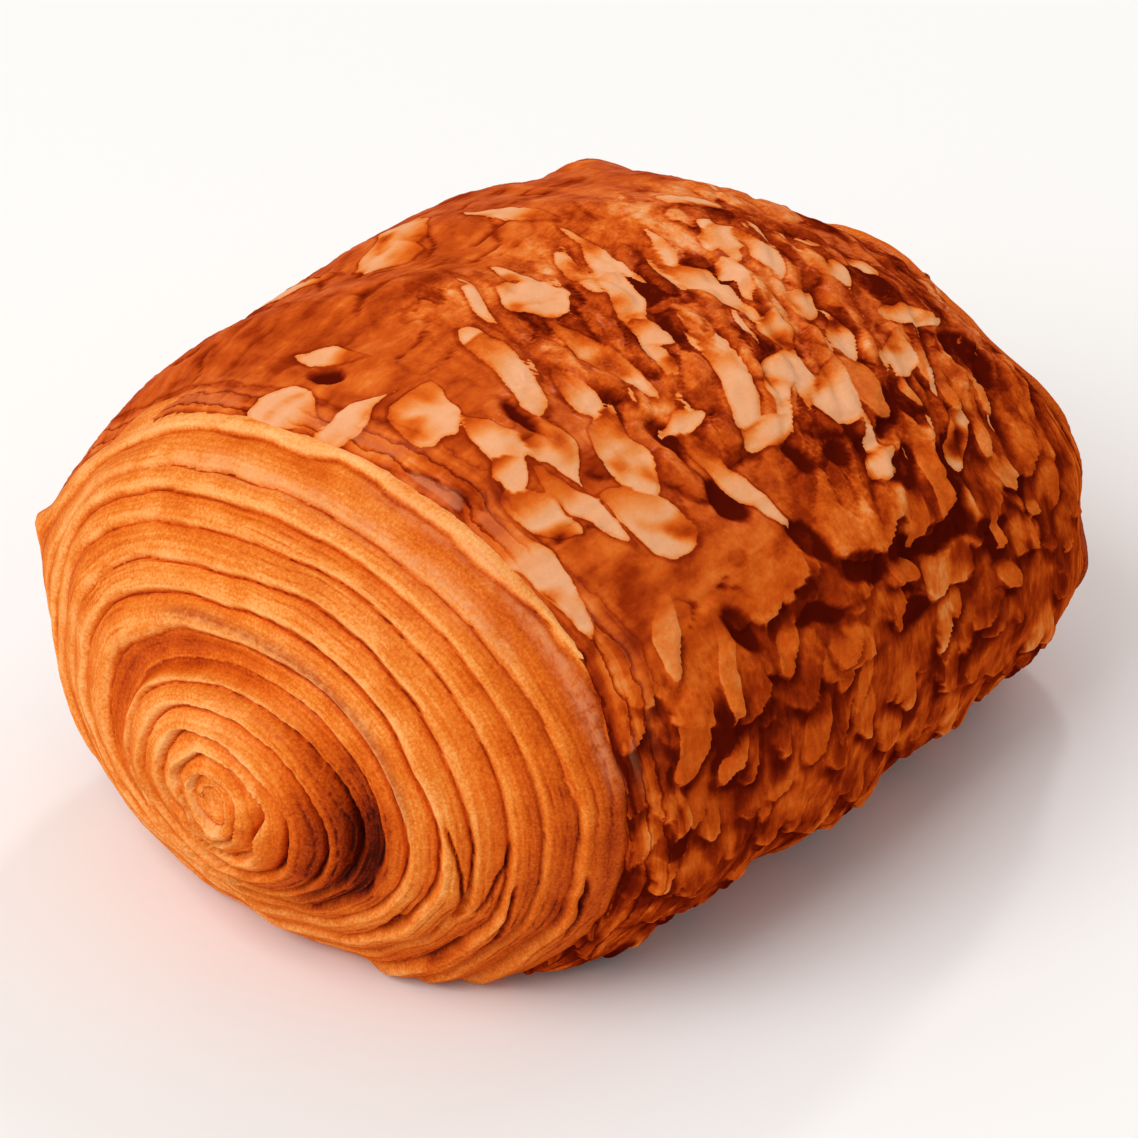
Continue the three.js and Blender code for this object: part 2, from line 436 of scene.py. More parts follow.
PAINTED_SHEEN_FLAKES = [
    (-31.5, 79, 3.3, 2.2, 100, 0.7), (-29.5, 88, 3.6, 0.9, 10, 0.7),
    (-25.5, 95, 3.9, 2.2, -35, 0.6), (-16, 97, 5, 1.4, -65, 0.1), (-13.5, 106, 2.2, 0.9, -75, 0.1),
    (-16, 118, 4.6, 2.5, -60, 0.2), (-21.5, 112, 3.3, 1.9, 100, 0.7),
    (-27.5, 119, 3.1, 1.7, 70, 0.4), (-27, 111, 1.5, 1.2, 90, 0), (-24, 121, 4.1, 0.9, 80, 0.1),
    (-19.5, 129, 4.6, 2.3, 60, -0.4), (-7.5, 103, 4.4, 1.3, -85, 0.1),
    (-4.5, 89, 2.9, 2.5, 15, 0.3), (3.5, 93, 6, 1.2, -50, 0.2), (0, 117, 5.2, 1.1, -70, 0.1),
    (-1, 104, 1.2, 0.9, 90, 0), (-7.5, 120, 1.9, 1.1, 0, 0.2), (-8, 132, 5, 1, 80, 0.1),
    (-1, 128, 2.6, 1.3, 0, 0.2), (-32, 126, 7.2, 1.4, 90, 0.2), (-1, 57, 4.4, 2.9, -20, 0.2),
    (9, 69, 3.6, 1.3, 75, 0.1), (3.5, 123, 1.7, 1.2, 0, 0.2), (9.5, 128, 3.2, 2.1, -40, 0.3),
    (10, 101, 4.8, 1.2, -85, 0), (17.5, 96, 1.8, 1.1, 0, 0.2), (18.5, 101, 2.5, 1.1, -70, 0.1),
    (13.5, 101, 1, 0.8, 0, 0), (16, 108, 1.2, 0.7, 80, 0), (17, 113, 2, 1.2, -20, 0.2),
    (10.5, 114, 2.1, 1.3, -40, 0.2), (5.5, 121, 3.8, 1.1, -25, 0.2),
    (16.5, 121, 2.3, 1.4, -55, 0.3), (23, 86, 2.7, 1.4, 15, 0.3), (26.5, 102, 1.9, 1.1, -35, 0.3),
    (29, 110, 1.9, 1.7, 0, 0.2), (23, 109, 2.6, 1.2, 85, 0.1), (28, 122, 3.9, 1.7, 20, 0.6),
    (21.5, 128, 3.4, 1.8, -50, 0.4), (8, 142, 1.9, 1.3, -20, 0.3), (22, 144, 4, 1.2, -40, 0.3),
    (-22.5, 75, 2.6, 0.9, 80, 0.3), (-25, 105, 3.1, 1.9, -80, 0.6),
]

# Sunk hollows; their darker tone, pit_shade, is painted shade.
DARK_HOLLOWS = [
    (-5.5, 147, 3.2, 1.5, 55, 0.1), (-1, 154, 2.4, 1.7, 20, 0.2), (-0.5, 135, 2, 0.9, 80, 0.1),
    (3.5, 137, 1.6, 1.3, 90, 0.2), (8, 138, 1.6, 1.1, 20, 0.2), (-25, 78, 1.9, 1.5, 70, 0.1),
    (-20.5, 105, 2.6, 0.9, 95, 0.3), (-11, 133, 2.6, 1.9, 90, 0), (10.5, 145, 3, 1.9, -25, 0.3),
    (16, 150, 4.2, 1.2, -70, 0.3), (13.5, 135, 3.6, 1.3, -30, 0.2), (31, 133, 4.2, 2.6, 75, 0.1),
    (5.5, 157, 2.4, 1.7, 40, 0.2), (10.5, 158, 3.3, 2, 20, 0.2), (0.5, 157, 1.8, 1.4, 0, 0.2),
    (-8.5, 158, 3.4, 0.9, 10, 0.2), (-17.5, 153, 2.6, 1.2, 70, 0.2), (19, 162, 4, 0.9, 10, 0.2),
    (5, 169, 2.8, 1.5, 0, 0.2), (-10.5, 120, 2.6, 1.1, 95, 0), (12, 102, 1.5, 0.9, 20, 0),
    (18.5, 149, 3.6, 1, 95, 0), (13.5, 158, 3.2, 2.2, 30, 0.2), (17, 136, 2.4, 1.4, 95, 0.1),
]

# Round blisters, darker towards their rims, with a painted shadow line under them.
BLISTERS = [
    (-11, 104, 3.7, 2.5, 80, 0.1), (-5, 105, 3.3, 2.3, 90, 0.1), (6, 98, 3, 2.1, 100, 0.1),
    (2, 106, 2.2, 1.9, 0, 0), (3.5, 116, 3.2, 2.7, 20, 0), (-5.5, 125, 2.7, 2.4, 10, 0.1),
    (4.5, 131, 2.8, 1.6, 5, 0), (-19, 118, 1.7, 1.5, 0, 0), (13.5, 104, 3, 1.7, 90, 0),
    (19.5, 107, 2.5, 1.9, 80, 0), (10, 109, 2.3, 1.9, 70, 0), (14, 120, 2.2, 1.6, 60, 0.1),
    (18.5, 125, 3.2, 2.3, 75, 0.1), (9.5, 134, 2.6, 1.7, -10, 0.1), (24.5, 94, 3, 2.2, 80, 0),
    (-13, 126, 3, 2, 70, 0.2), (27.5, 115, 2.4, 1.8, 60, 0),
]

# Hanging flakes of the flaky side. They lift towards the tray.
PETALS = [
    (-13, 144, 6, 5.8, 0, 0.1), (-20, 158, 5.6, 2.8, 80, -0.25), (-26.5, 156, 5.2, 2.2, 90, 0),
    (2, 146, 5.2, 4.6, 0, 0.2), (-4.5, 156, 2, 1.6, 20, 0.3), (11, 150, 4.4, 3, -20, 0.3),
    (2, 164, 2, 1.8, 0, 0.2), (6, 161, 3.4, 1.6, 60, 0.3), (11.5, 165, 4.2, 2.8, 10, 0.3),
    (18.5, 158, 4.6, 2.6, -10, 0.3), (24.5, 138, 5, 2, -30, 0.3), (20, 139, 2.6, 1.7, -20, 0.2),
    (16.5, 144, 4, 1.3, -45, 0.3), (25.5, 167, 3.2, 2.2, 5, 0.3), (19, 172, 3.2, 1.4, 5, 0.2),
    (29.5, 152, 4, 2.6, -10, 0.3), (-6, 167, 3.6, 2.6, 20, 0.3), (-13, 166, 3.4, 2.4, 40, 0.3),
]

# Tan flakes of the flaky side and the shoulder above it, each with its own tone last.
TAN_FLAKES = [
    (-25.4, 147, 4.4, 1.4, 113, 0.3, 0.74), (-20.8, 157, 6, 1.1, 110, 0, 0.66),
    (-26.3, 163.5, 6, 1.9, 110, 0, 0.54), (-22.7, 172.5, 2.8, 1.2, 113, 0, 0.58),
    (-13.2, 159.5, 3.2, 1.5, 110, -0.2, 0.57), (-6.6, 165, 2.6, 2.1, 100, 0.3, 0.57),
    (-11.5, 176, 4, 1.8, 110, 0.2, 0.52), (-17, 184, 2, 1.4, 60, 0.1, 0.55),
    (-4.7, 174, 3.2, 1, 113, 0.2, 0.55), (18.5, 135, 1.6, 0.7, 100, 0.1, 0.66),
    (24, 138, 2.2, 0.9, 105, 0.1, 0.62), (29.5, 138, 4.6, 1.1, 100, -0.1, 0.68),
    (24.5, 147.5, 2.2, 1.1, 110, 0.2, 0.68), (25.5, 155, 2.6, 1.6, 60, 0.2, 0.7),
    (20, 162, 3.2, 0.9, 105, 0.1, 0.6), (28, 163, 1.3, 1.1, 90, 0, 0.6),
    (26.2, 167.5, 1.7, 1.1, 100, 0, 0.57), (20.4, 172.5, 2, 1.2, 20, 0, 0.56),
    (13.5, 148, 4.4, 1.6, 113, -0.2, 0.6), (8.5, 152.5, 3.6, 1.1, 110, 0, 0.52),
    (7.6, 142, 2.2, 1.3, 100, 0.2, 0.68), (4.5, 160, 3, 1.5, 45, 0.1, 0.56),
    (2.5, 165.5, 2.6, 1.3, 110, 0.1, 0.52), (12.5, 173, 2.4, 1.2, 95, 0.2, 0.55),
    (33, 160, 4, 1.1, 105, 0.1, 0.5), (4, 181, 3, 1.2, 110, 0.1, 0.5),
    (-27.5, 179, 2.6, 1.4, 105, 0.1, 0.52), (13.5, 129, 4.2, 2.2, 105, -0.2, 0.62),
    (23.5, 130, 3.4, 1.2, 108, 0.1, 0.7),
]

FAR_AWAY = 9.0
HIDDEN_SHIFT = 2.0
HIDDEN_MIDDLE = 56
WALL_TOP = 75
SHINGLE_SEED = 5
PETAL_HEIGHT = 0.9

# A small browned pit beside the near rim: its place and radius.
SPOT_X, SPOT_ANGLE, SPOT_RADIUS = -34, 8, 2.4

# Noise of the crust: its grain along the roll and round it, and where the noise starts. The
# slanted kinds run across it.
GRAINS = {
    "ragged": (2.4, 2.4, 3.1),
    "streak": (9, 0.9, 5.5),
    "broad": (12, 10, 4.1),
    "patchy": (4.5, 4.5, 9.4),
    "fine": (0.9, 1.3, 2.4),
    "lumps": (4, 7, 1.3),
    "cluster": (8, 9, 51),
    "crack": (15, 5, 61),
    "glaze": (5, 4, 16.6),
}
SLANTED_GRAINS = {
    "strips": (2.6, 8, 21),
    "strip_edges": (1.6, 4, 31),
    "soft_strips": (3.2, 6, 81),
    "drapes": (2.2, 13, 41),
}

# How many millimetres each mark of the crust stands out, and how much paler it is. Among the tone
# shifts, petal_tone, blister_tone, tan_shade and pit_shade hold painted shade and shadow, shoulder
# is painted shade, and drapes carry a painted highlight where they stand out.
CRUST_RISES = dict(petals=1, blisters=1, cells=1, tan_rise=1, tan_shade=-0.25, plateau=0.12, pit=-0.6)
CRUST_RISES.update(drapes=0.5, crack=-0.25, bands=0.15, streaks=0.1, lumps=0.2, fine=0.08)
CRUST_SHIFTS = dict(petal_tone=1, blister_tone=1, cell_tone=1, tan_shade=-0.2, pit_shade=-0.42, spot=-0.3)
CRUST_SHIFTS.update(broad=0.07, patchy=0.06, streaks=0.05, soft_strips=0.17, drapes=0.24, crack=-0.25)
CRUST_SHIFTS.update(bands=0.1, shoulder=-0.16, underside=-0.02)

# What the crust's material reads besides its tone.
CRUST_LOOKS = ["pale", "tan", "tan_tone", "tan_cover", "glaze", "mottled", "leafy", "within", "border"]


def mirrored(shapes):
    """The back wall gets shapes like the front's, mirrored over the top and moved along."""
    copies = []
    for x, angle, half_length, half_width, lean, taper in shapes:
        place = HIDDEN_SHIFT - 0.9 * x
        copies.append((place, 2 * HIDDEN_MIDDLE - angle, half_length, half_width, lean, taper))
    return copies


def shingled_petals(seed):
    """Rows of small hanging flakes over both walls, the lower rows first."""
    draw = np.random.default_rng(seed)
    petals = []
    for row_angle in np.arange(222, 146, -4.5):
        for place in np.arange(-33, 38, 4.2):
            angle = row_angle + draw.uniform(-3, 3)
            if draw.random() < 0.5:
                angle = 180 - angle
            length = draw.uniform(2.2, 4.6)
            narrow = draw.uniform(0.9, 2.0)
            x = place + draw.uniform(-2, 2)
            petals.append((x, angle, length, narrow, draw.uniform(62, 118), 0.35))
    return petals


def warped(x, angle):
    """Places moved a little by noise, so that no outline on the crust is a plain curve."""
    shift_x = roll_noise(x, angle, 6.5, 6.5, 8.3)
    shift_around = roll_noise(x, angle, 6.5, 6.5, 12.9)
    return x + shift_x, angle + shift_around / RADIUS


def shape_place(x, angle, shape, ragged, squareness=3.0):
    """Millimetres inside a shape's outline, negative outside, and how far down it a point is."""
    middle_x, middle_angle, half_length, half_width, lean, taper = shape
    across_x = x - middle_x
    around = RADIUS * turned(angle, middle_angle)
    cosine, sine = math.cos(math.radians(lean)), math.sin(math.radians(lean))
    along = (across_x * cosine + around * sine) / half_length + 0.12 * ragged
    width = half_width * np.clip(1 - taper * along, 0.15, 2)
    side = (around * cosine - across_x * sine) / width + 0.18 * ragged
    size = (np.abs(along) ** squareness + np.abs(side) ** squareness) ** (1 / squareness)
    downward = np.where(np.cos(angle) < 0, around, -around)
    return (1 - size) * min(half_length, half_width), downward / max(half_length, half_width)


def inside_any(x, angle, shapes, ragged, squareness):
    """Millimetres inside the nearest of some shapes, and how far down it a point is."""
    inside = np.full(x.shape, -FAR_AWAY)
    down = np.zeros(x.shape)
    for shape in shapes:
        own_inside, drop = shape_place(x, angle, shape, ragged, squareness)
        down = np.where(own_inside > inside, drop, down)
        inside = np.maximum(inside, own_inside)
    return inside, down


def petal_relief(x, angle, petals, ragged):
    """Overlapping flakes that rise to a free lower edge, and the dark under that edge, which is painted
    shadow. Each flake is painted darker lower down as painted shade, with a painted highlight along
    its free edge.
    """
    lift, tone, shade = (np.zeros(x.shape) for _ in range(3))
    for number, petal in enumerate(petals):
        inside, drop = shape_place(x, angle, petal, ragged)
        size = max(petal[2], petal[3])
        swell = np.clip(0.5 + 0.5 * drop, 0, 1) ** 1.4 * min(size / 3.5, 1.3)
        own_lift = PETAL_HEIGHT * swell * ease(-0.1, 0.35, inside)
        # Painted highlight: a thin bright line along the free lower edge.
        edge = 0.12 * bell(inside, 0.12, 0.18) * ease(0.2, 0.7, drop)
        # Each flake's own tone, painted darker lower down as painted shade.
        own_tone = 0.08 * math.sin(number * 2.4) - 0.09 * drop + edge + 0.06 * (size > 4)
        covered = ease(-0.1, 0.15, inside) * ease(-0.9, -0.2, drop)
        tone = tone + (own_tone - tone) * covered
        shade = shade * (1 - covered)
        lift = np.maximum(lift * (1 - 0.5 * covered), own_lift)
        under = ease(-2.4, -0.15, inside) * ease(0.3, 0.8, drop) * min(size / 4, 1)
        shade = np.maximum(shade, under * (inside < 0))
    return lift, tone, shade


def tan_relief(x, angle, ragged):
    """Tan flakes: how far they stand out, their tone, painted a little darker lower down as painted
    shade, their cover, and the painted shadow under them.
    """
    rise, shade, cover = (np.zeros(x.shape) for _ in range(3))
    shapes = [flake[:-1] for flake in TAN_FLAKES]
    tones = [flake[-1] for flake in TAN_FLAKES]
    nearest = np.full(x.shape, -FAR_AWAY)
    tone = np.full(x.shape, tones[0])
    for own_tone, shape in zip(tones + tones, mirrored(shapes) + shapes):
        inside, drop = shape_place(x, angle, shape, 0.7 * ragged, 1.9)
        closer = inside > nearest
        tone = np.where(closer, own_tone - 0.04 * np.clip(drop, -1, 1), tone)
        nearest = np.where(closer, inside, nearest)
        cover = np.where(closer, ease(-0.9, 0.1, drop), cover)
        lift = (0.3 + 0.35 * np.clip(drop, -0.8, 1)) * ease(-0.3, 0.3, inside)
        rise = np.maximum(rise, lift)
        under = ease(-1.3, -0.1, inside) * ease(0.1, 0.7, drop) * (inside < 0)
        shade = np.maximum(shade, under)
    shade = shade * (1 - ease(-0.2, 0.1, nearest))
    return dict(tan=nearest, tan_tone=tone, tan_cover=cover, tan_rise=rise, tan_shade=shade)


def blister_relief(x, angle, ragged):
    rise, tone = np.zeros(x.shape), np.zeros(x.shape)
    for shape in BLISTERS + mirrored(BLISTERS):
        inside, drop = shape_place(x, angle, shape, ragged)
        half = min(shape[2], shape[3])
        size = 1 - inside / half
        dome = np.sqrt(np.clip(1 - size**2, 0, 1))
        rise = np.maximum(rise, 0.3 * half * dome)
        # Painted shadow: a dark line along each blister's lower side.
        line = bell(size, 1.04, 0.1) * ease(-0.6, 0.4, drop)
        tone = tone - 0.28 * line - 0.12 * (size < 1) * size
    return rise, tone


def broad_relief(x, angle):
    rise = np.zeros(x.shape)
    for along, around, height in CRUST_WAVES:
        rise += height * np.sin(TURN * x / along + around * angle)
    for middle, middle_angle, radius, height in SWELLINGS:
        arc = WIDTH / 2 * turned(angle, middle_angle)
        rise += height * bell(np.hypot(x - middle, arc), 0, radius)
    return rise


def crust_zones(x, angle):
    """Where the crust is mottled, leafy and so on. The hidden wall is like the front one."""
    degrees = np.degrees(angle)
    down_wall = np.maximum(degrees - WALL_TOP, 2 * HIDDEN_MIDDLE - WALL_TOP - degrees)
    mottled = ease(-6, 8, down_wall) * ease(-22, -8, x)
    mottled = mottled * (1 - ease(62, 82, down_wall))
    calm_arc = RADIUS * np.radians(down_wall - 62)
    mottled = mottled * (1 - 0.85 * bell(np.hypot(x + 9, calm_arc), 0, 9))
    leafy = ease(58, 76, down_wall - 9 * (1 - ease(-18, 4, x)))
    return Parts(
        down_wall=down_wall,
        mottled=mottled,
        leafy=leafy,
        smooth=(1 - mottled) * (1 - leafy),
        # The shoulder towards the far end lies away from the light; its darker tone is painted shade.
        shoulder=ease(12, 30, x) * window(down_wall, 24, 62, 14),
        underside=ease(118, 135, down_wall),
    )


def crust_grain(x, angle):
    slanted = x + 0.5 * RADIUS * np.sin(angle - math.radians(110))
    kinds = {name: roll_noise(x, angle, *size) for name, size in GRAINS.items()}
    across = {name: roll_noise(slanted, angle, *size) for name, size in SLANTED_GRAINS.items()}
    return Parts(slanted=slanted, **kinds, **across)


def painted_sheen_flakes(x, angle, mottled, grain):
    """Millimetres inside the flakes with painted sheen, and how far that painted sheen covers them."""
    shapes = PAINTED_SHEEN_FLAKES + mirrored(PAINTED_SHEEN_FLAKES)
    inside, down = inside_any(x, angle, shapes, 0.8 * grain.ragged, 1.5)
    inside = inside + 0.45
    strips = 1.6 * (grain.strips - 0.36 - 0.9 * (1 - mottled))
    fade = np.maximum(ease(-1, 0.1, down), ease(-0.2, 0.2, strips - inside))
    glaze = (0.25 + 0.75 * fade) * ease(-1.1, 0.05, grain.glaze)
    return np.maximum(inside, strips) + 0.25 * grain.strip_edges, glaze


def flake_marks(x, angle, zone, grain):
    """Flakes with painted sheen, tan and hanging flakes, blisters and dark pits of painted shade."""
    pale, glaze = painted_sheen_flakes(x, angle, zone.mottled, grain)
    plateau = ease(-0.3, 0.15, pale)
    dark, _ = inside_any(x, angle, DARK_HOLLOWS + mirrored(DARK_HOLLOWS), grain.ragged, 2.0)
    petals = shingled_petals(SHINGLE_SEED) + mirrored(PETALS) + PETALS
    lift, petal_tone, shade = petal_relief(x, angle, petals, grain.ragged)
    blisters, blister_tone = blister_relief(x, angle, grain.ragged)
    return dict(
        # Less painted sheen on the shoulder, which lies in shade.
        pale=pale - 0.5 * zone.shoulder,
        glaze=glaze,
        plateau=plateau,
        pit=ease(-0.4, 0.6, dark),
        pit_shade=ease(-0.35, 0.35, dark),
        petals=lift * zone.leafy,
        petal_tone=(1.4 * petal_tone - 0.36 * shade - 0.04) * zone.leafy,
        blisters=blisters * (1 - plateau),
        blister_tone=blister_tone * (1 - plateau) * (1 - zone.leafy),
        **tan_relief(x, angle, grain.ragged),
    )


def skin_marks(x, angle, edge, zone, grain, bare):
    """Small browned cells, drapes, cracks, and bands beside the near rim."""
    ragged = 0.1 * grain.ragged[..., None]
    within, trait = cell_noise(round_roll(grain.slanted, angle, 3.0, 4.6, 0.7) + ragged)
    cluster = ease(-0.35, 0.2, grain.cluster)
    brown_cell = (1 - ease(0.4, 0.6, trait)) * cluster
    cell_tone = 0.07 - 0.3 * brown_cell * ease(0, 0.12, within) - 0.05 * cluster
    border = (0.12 + brown_cell) * ease(-0.9, 0.1, grain.patchy)
    draped = ease(12, 35, zone.down_wall) * (1 - ease(80, 100, zone.down_wall))
    near_side = 1 - ease(NEAR_BANDS, NEAR_BANDS + 3, edge)
    cracked = zone.smooth * (1 - near_side) * ease(-0.3, 0.2, grain.broad)
    strips_seen = (1 - zone.leafy) * (0.3 + 0.7 * zone.mottled)
    spot_away = np.hypot(x - SPOT_X, RADIUS * turned(angle, SPOT_ANGLE))
    return dict(
        within=within,
        border=border * zone.mottled * bare,
        cells=zone.mottled * (0.3 * ease(0, 0.35, within) * (0.4 + trait) - 0.15),
        cell_tone=zone.mottled * cell_tone,
        # Drapes stand out, and are painted lighter where they do, as a painted highlight.
        drapes=ease(-6, 10, x) * draped * grain.drapes,
        crack=(1 - ease(0, 0.07, np.abs(grain.crack))) * cracked,
        bands=near_side * roll_noise(np.zeros_like(x), edge / 0.9 / RADIUS, 1, 1, 71),
        streaks=grain.streak * zone.smooth,
        soft_strips=ease(0.05, 0.2, grain.soft_strips) * strips_seen,
        spot=bell(spot_away, 0, SPOT_RADIUS),
        fine=grain.fine * (0.2 + 0.8 * bare),
    )


def crust_relief(x, angle, edge):
    """Rise and looks of places on the crust. Edge is how far they are from the near rim."""
    zone = crust_zones(x, angle)
    broad_rise = broad_relief(x, angle)
    x, angle = warped(x, angle)
    grain = crust_grain(x, angle)
    flakes = flake_marks(x, angle, zone, grain)
    skin = skin_marks(x, angle, edge, zone, grain, 1 - flakes["plateau"])
    marks = vars(grain) | vars(zone) | flakes | skin
    looks = {name: marks[name] for name in CRUST_LOOKS}
    looks["tone"] = PLAIN_TONE + weighed(marks, CRUST_SHIFTS)
    return LIP + broad_rise + weighed(marks, CRUST_RISES), looks


# ---- meshes

NEAR.rows, NEAR.columns = 222, 424
FAR.rows, FAR.columns = 130, 300
CRUST_ROWS, CRUST_COLUMNS = 208, 456

# Each end reaches this far under the crust, and the crust's hubs lie as far inside its rims.
TUCK = 4.0
UNDER_CRUST = -0.5
# The crust's edges turn in: how deep, and how far along. They wander by this much.
EDGE_DEPTH = -1.6
EDGE_INSET = 0.5
EDGE_WANDER = 0.9
# The base doesn't show, so the crust's columns lie further apart there.
BASE_WEIGHT = 0.35
FINE_STEPS = 4001


def spaced(path, weights, count, values):
    """Values at places an even, weighted distance apart along a path."""
    steps = np.linalg.norm(np.diff(path, axis=0), axis=1) * weights
    length = np.append(0, np.cumsum(steps))
    return np.interp(np.linspace(0, length[-1], count + 1), length, values)


def even_shares(end, last_x):
    """Radius shares from the tip, an even distance apart over the top of the roll."""
    shares = np.linspace(0, 1, FINE_STEPS) ** 1.5 * share_at(np.array(last_x))
    x = end.side * reach_at(end, shares) * LENGTH / 2
    path = raised(x, shares, np.full(x.shape, UPWARD), np.zeros(x.shape))
    return spaced(path, 1, end.rows, shares)[1:]


def column_angles(columns, base_weight):
    """Angles round the roll from the middle of its base, closer together where they show."""
    fine = np.linspace(-UPWARD, TURN - UPWARD, FINE_STEPS)
    path = raised(np.zeros(fine.shape), np.ones(fine.shape), fine, np.zeros(fine.shape))
    return spaced(path, np.where(path[1:, 2] > 0, 1.0, base_weight), columns, fine)[:-1]


def closed_tube(rows, hubs, flipped=False):
    """Points and faces of rows that close round the roll, with a fan to a hub at each end."""
    count, columns = rows.shape[:2]
    here = np.arange(columns)
    after = (here + 1) % columns
    row = np.arange(count - 1)[:, None] * columns
    last = (count - 1) * columns
    hub = np.full(columns, count * columns)
    quads = [row + here, row + after, row + columns + after, row + columns + here]
    fans = [(hub, here, after), (hub + 1, last + after, last + here)]
    if flipped:
        quads.reverse()
        fans = [(middle, second, first) for middle, first, second in fans]
    faces = [np.stack(corners, axis=-1).reshape(-1, len(corners)) for corners in (quads, *fans)]
    return np.vstack([rows.reshape(-1, 3), hubs]), faces


def vertex_looks(looks, rows_before):
    """Looks of a tube's rows, of rows added before and after them, and of its hubs."""
    values = {}
    for look, grid in looks.items():
        rows = np.pad(grid, ((rows_before, 1), (0, 0)), mode="edge")
        values[look] = np.append(rows, [grid[0].mean(), grid[-1].mean()])
    return values


def end_geometry(end, cover_x):
    """A dome from the tip to under the crust, closed inside the roll."""
    shares = even_shares(end, cover_x)
    share, angle = np.meshgrid(shares, column_angles(end.columns, 1.0), indexing="ij")
    x = end.side * reach_at(end, share) * LENGTH / 2
    flat = raised(x, share, angle, np.zeros(x.shape))
    rise, looks = spiral_relief(end, share, angle, flat)
    rise = rise + broad_relief(x, angle) * ease(0.6, end.rim, share)
    under = ease(end.rim, end.rim + 0.03, share)
    rise = rise * (1 - under) + UNDER_CRUST * under
    rows = raised(x, share, angle, rise)
    tip = rows[0].mean(axis=0)
    inside = np.array([cover_x - end.side * TUCK, 0, WAIST])
    inner = rows[-1:] * 0.7 + inside * 0.3
    points, faces = closed_tube(np.vstack([rows, inner]), [tip, inside], end.side > 0)
    return points, faces, vertex_looks(looks, 0)


def ragged_edge(x, angles, seed):
    return x + EDGE_WANDER * roll_noise(0 * angles, angles, 1, 11, seed)


def turned_in(edge, angles, inwards):
    """A row of points inside the crust's edge."""
    row = raised(edge, share_at(edge), angles, np.full(angles.shape, EDGE_DEPTH))
    row[:, 0] += inwards * EDGE_INSET
    return row


def crust_geometry(near_x, far_x):
    """The crust between the rims, with ragged edges turned in and closed inside the roll."""
    angles = column_angles(CRUST_COLUMNS, BASE_WEIGHT)
    place, angle = np.meshgrid(np.linspace(0, 1, CRUST_ROWS), angles, indexing="ij")
    near_edge = ragged_edge(near_x, angles, 1)
    far_edge = ragged_edge(far_x, angles, 6)
    x = near_edge + (far_edge - near_edge) * place
    rise, looks = crust_relief(x, angle, x - near_edge)
    # How far the crust lies below its softened surface, which the material turns into painted shade in
    # recesses and a painted highlight on raised places.
    looks["cavity_shading"] = blurred(rise, 14) - rise
    looks["edge"] = np.minimum(x - near_edge, far_edge - x)
    # Painted sheen: pink along the near rim.
    looks["blush"] = bell(x - near_edge, 0, 2.4) * window(np.degrees(angle), 60, 150, 25)
    rows = [turned_in(near_edge, angles, 1), *raised(x, share_at(x), angle, rise)]
    rows.append(turned_in(far_edge, angles, -1))
    hubs = [[near_x + TUCK, 0, WAIST], [far_x - TUCK, 0, WAIST]]
    points, faces = closed_tube(np.array(rows), hubs)
    return points, faces, vertex_looks(looks, 1)


def make_mesh(name, fit, geometry, material):
    """One closed piece. Its looks are values for its vertices that its material reads."""
    points, faces, looks = geometry
    mesh = bpy.data.meshes.new(name)
    corners = [face.tolist() for group in faces for face in group]
    mesh.from_pydata((fit(points) * MM).tolist(), [], corners)
    mesh.update()
    mesh.shade_smooth()
    for look, values in looks.items():
        attribute = mesh.attributes.new(look, "FLOAT", "POINT")
        attribute.data.foreach_set("value", np.asarray(values, np.float32))
    mesh.materials.append(material)
    piece = bpy.data.objects.new(name, mesh)
    bpy.context.scene.collection.objects.link(piece)
    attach(piece, "root")
    return piece


# ---- materials

# Colours of baked dough by tone, as they show on a screen.
CRUST_TONES = [
    (0.00, (84, 15, 3)),
    (0.18, (116, 28, 5)),
    (0.36, (160, 50, 10)),
    (0.52, (204, 82, 18)),
    (0.64, (224, 108, 34)),
    (0.76, (232, 140, 72)),
    (0.88, (236, 164, 114)),
    (1.00, (242, 186, 146)),
]
LAYER_TONES = [
    (0.00, (70, 14, 2)),
    (0.20, (130, 36, 6)),
    (0.40, (188, 70, 12)),
    (0.56, (218, 98, 22)),
    (0.70, (234, 128, 44)),
    (0.84, (247, 164, 88)),
    (1.00, (254, 190, 124)),
]

# The dull red line and the pink sheen painted near the rim, and the pale floor.
MAUVE = (166, 58, 30)
BLUSH = (228, 146, 100)
FLOOR_COLOUR = (250, 249, 247)
SPECULAR_LEVEL = 0.0


def linear(red, green, blue):
    """A colour given as it shows on a screen, 0 to 255, as Blender's linear values."""
    shares = [channel / 255 for channel in (red, green, blue)]
    return [s / 12.92 if s <= 0.04045 else ((s + 0.055) / 1.055) ** 2.4 for s in shares] + [1.0]


